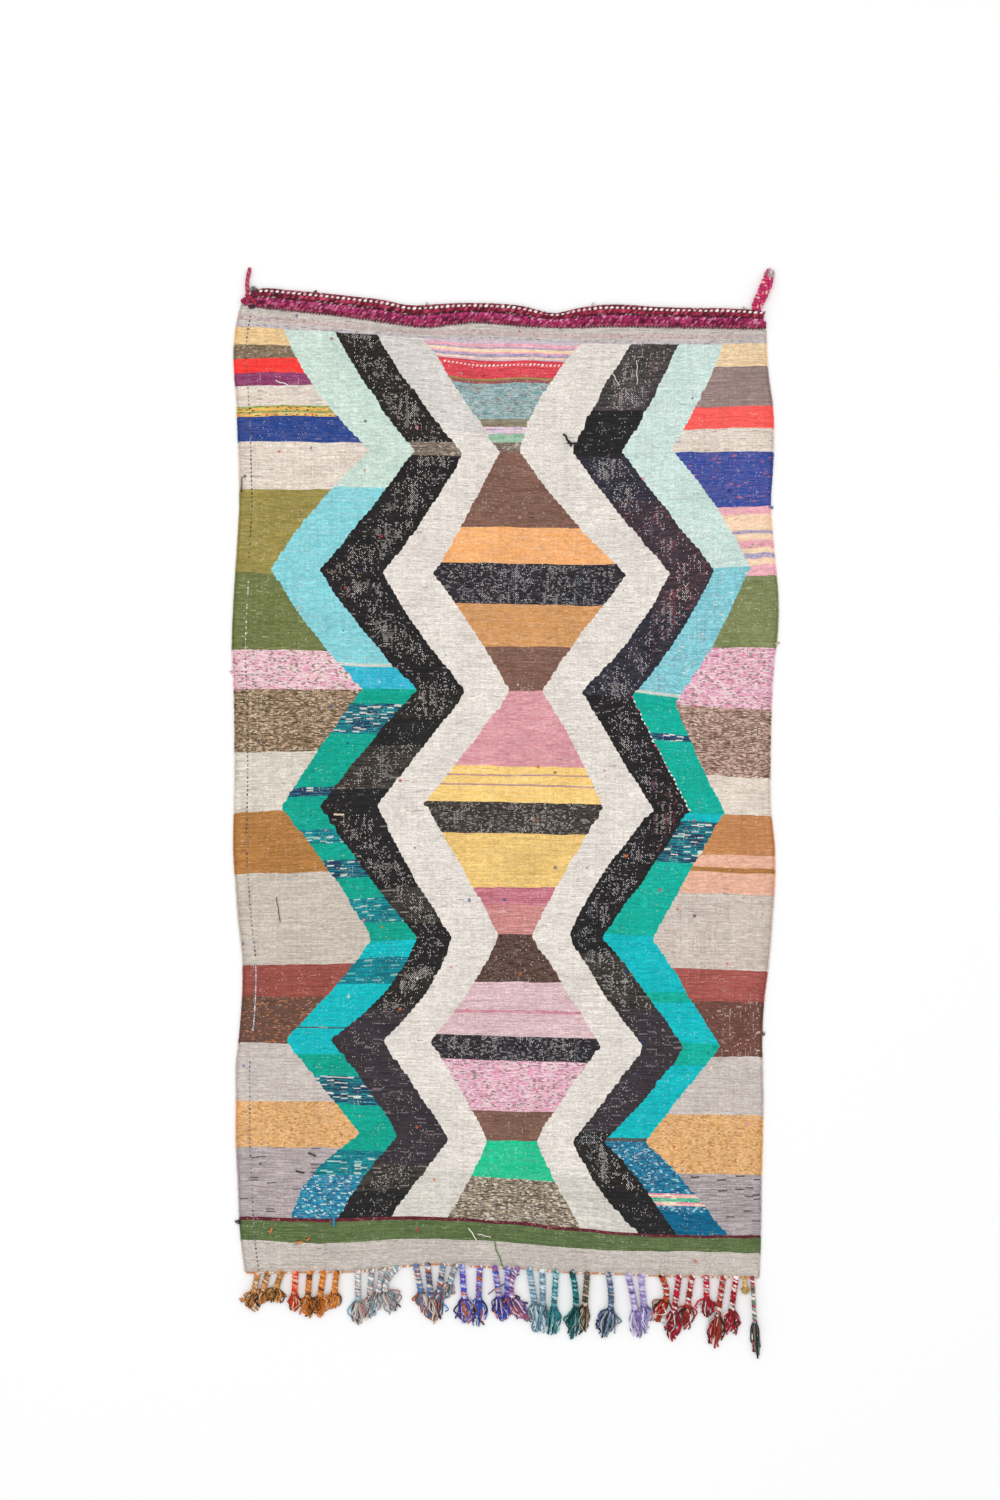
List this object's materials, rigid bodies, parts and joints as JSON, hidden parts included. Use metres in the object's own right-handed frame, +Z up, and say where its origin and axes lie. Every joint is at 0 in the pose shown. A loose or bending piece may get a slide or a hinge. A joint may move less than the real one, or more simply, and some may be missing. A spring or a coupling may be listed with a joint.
{
  "type": "boucherouite rug",
  "caption": "Flat-woven rag rug with zigzag bands, a centre of stacked lozenges, a twined plait and corner tails at one end and a knotted tassel fringe at the other.",
  "frame": {"origin": "middle of the cloth's underside, on the surface the rug lies on", "axes": "+Y along the rug's length towards the plaited end, +X to the right of the rug seen from above, +Z up out of the patterned face"},
  "size_m": [1.5015, 3.0006, 0.0126],
  "materials": {
    "woven_rag_cloth": "matt flat weave of cotton, wool and rag yarns in many colours",
    "twined_plait": "matt twined wool in maroon and magenta with pale warp loops",
    "tail_cord": "matt twisted maroon wool cord",
    "tail_plait": "matt plaited warp ends in red, pink and white with a frayed tip",
    "tassel_yarn": "matt twisted and brushed-out yarns, a colour for each tassel"
  },
  "bodies": {
    "root": {"field": "woven_rag_cloth", "top_plait": "twined_plait", "corner_tail_left": "tail_cord", "corner_tail_right": "tail_plait", "fringe": "tassel_yarn"}
  },
  "joints": []
}
